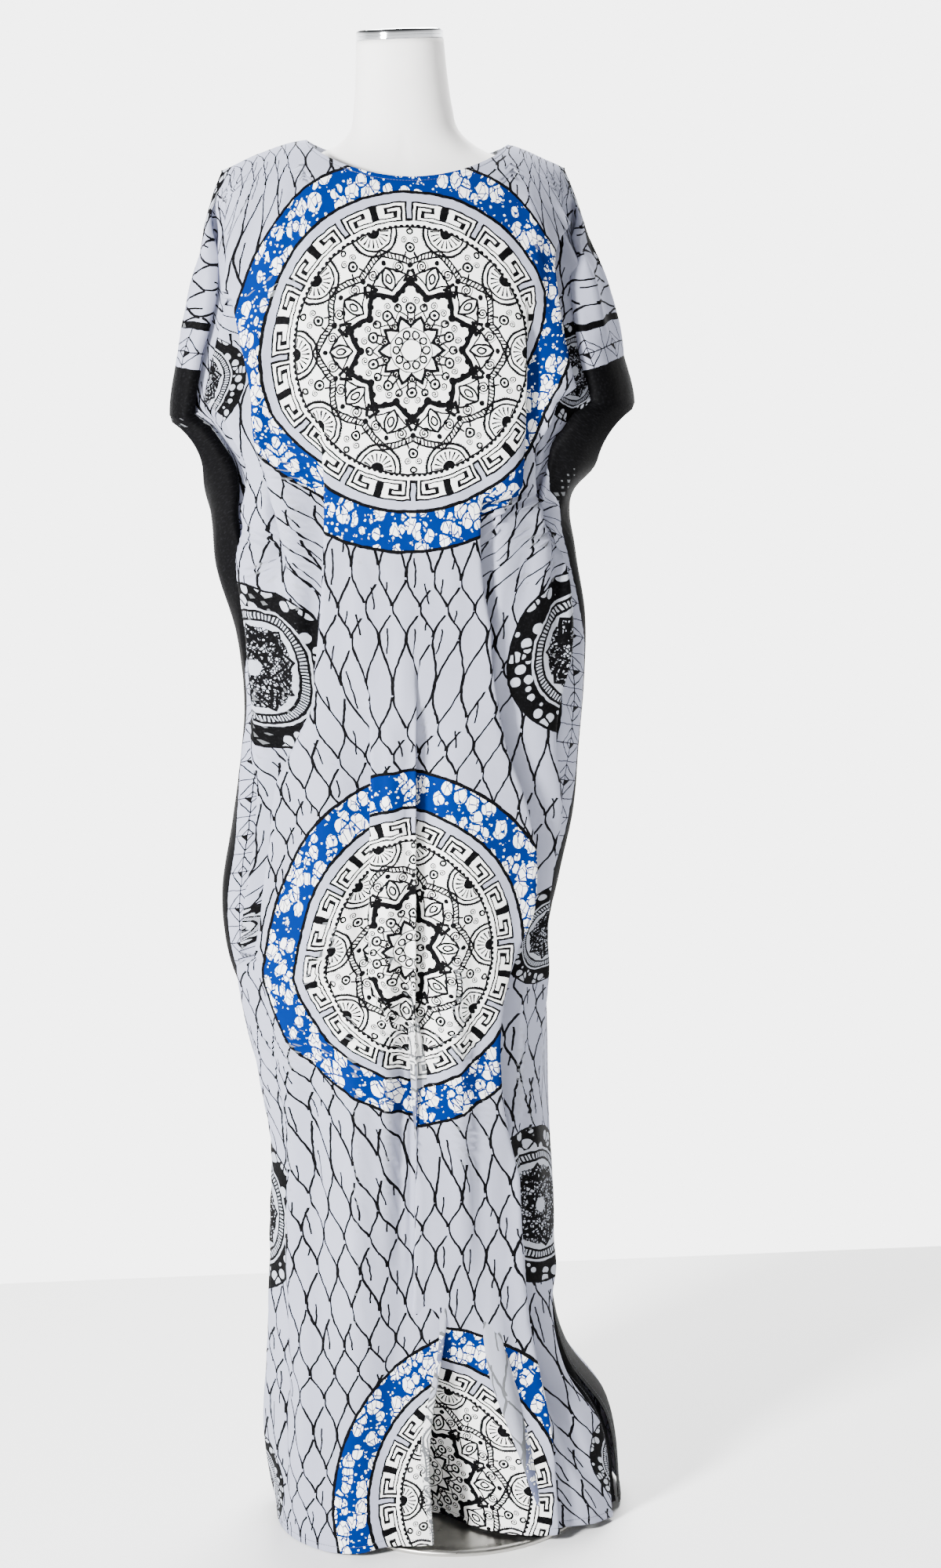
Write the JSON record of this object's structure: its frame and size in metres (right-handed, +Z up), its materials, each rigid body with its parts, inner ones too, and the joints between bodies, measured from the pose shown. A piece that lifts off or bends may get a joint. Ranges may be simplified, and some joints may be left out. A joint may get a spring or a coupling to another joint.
{
  "type": "bati dress on a limbless dress form",
  "caption": "Loose floor-length wax-print kaftan dress of one folded cloth with short kimono sleeves, worn on a limbless dress form with a pole and a round base.",
  "frame": {"origin": "middle of the round base's underside, on the floor", "axes": "+Z up the pole; -Y is the front of the dress; +X is to the right as the front is seen"},
  "size_m": [0.477, 0.2931, 1.59],
  "materials": {
    "printed_cotton": "light plain-weave cotton, wax-style print in grey, black, white and blue",
    "white_jersey": "fine white jersey cover",
    "chrome_cap": "polished chrome",
    "satin_steel": "satin steel"
  },
  "bodies": {
    "root": {"dress_front": "printed_cotton", "dress_back": "printed_cotton", "form_torso": "white_jersey", "neck_cap": "chrome_cap", "form_flange": "satin_steel", "stand_pole": "satin_steel", "stand_base": "satin_steel"}
  },
  "joints": []
}
